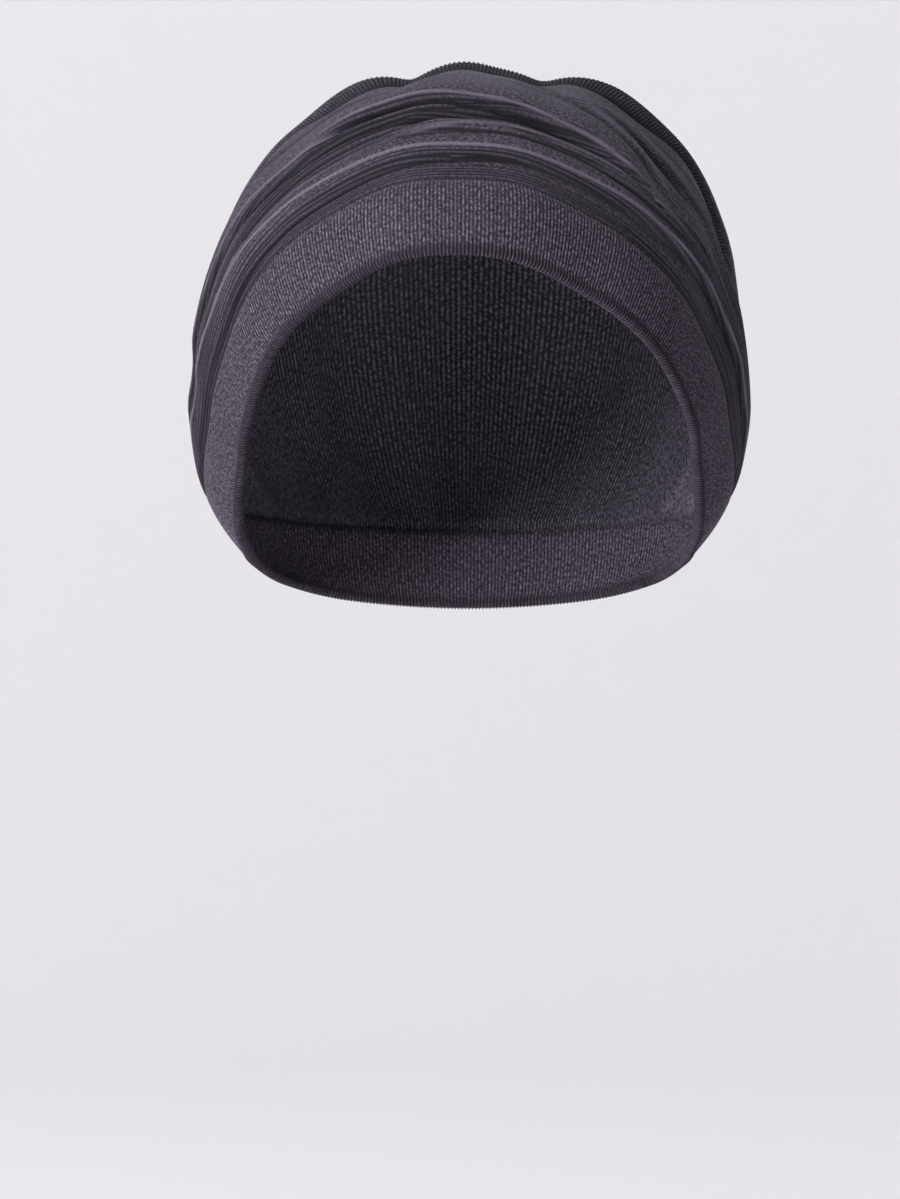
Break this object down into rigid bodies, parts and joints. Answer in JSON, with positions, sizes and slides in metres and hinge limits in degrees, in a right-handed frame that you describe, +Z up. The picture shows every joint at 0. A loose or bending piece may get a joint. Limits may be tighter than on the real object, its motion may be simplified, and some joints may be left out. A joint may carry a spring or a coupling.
{
  "type": "turban headwrap",
  "caption": "Soft ribbed-knit turban headwrap in its worn form: folded head band, front panel draped in rolls from ear to ear, gathered back panel, open hollow for the head.",
  "frame": {"origin": "inside of the crown, where the top of a head touches; the head hollow lies below it", "axes": "+Z up, +Y to the back of the head, +X to the right of someone who looks at the wearer's face"},
  "size_m": [0.1824, 0.2085, 0.1783],
  "materials": {
    "band_jersey": "fine rib-knit heather jersey, matt, ribs across the band",
    "drape_jersey": "fine rib-knit heather jersey, matt, ribs along the folds",
    "back_jersey": "fine rib-knit heather jersey, matt, ribs from crown to nape"
  },
  "bodies": {
    "root": {"head_band": "band_jersey", "front_drape": "drape_jersey", "back_panel": "back_jersey"}
  },
  "joints": []
}
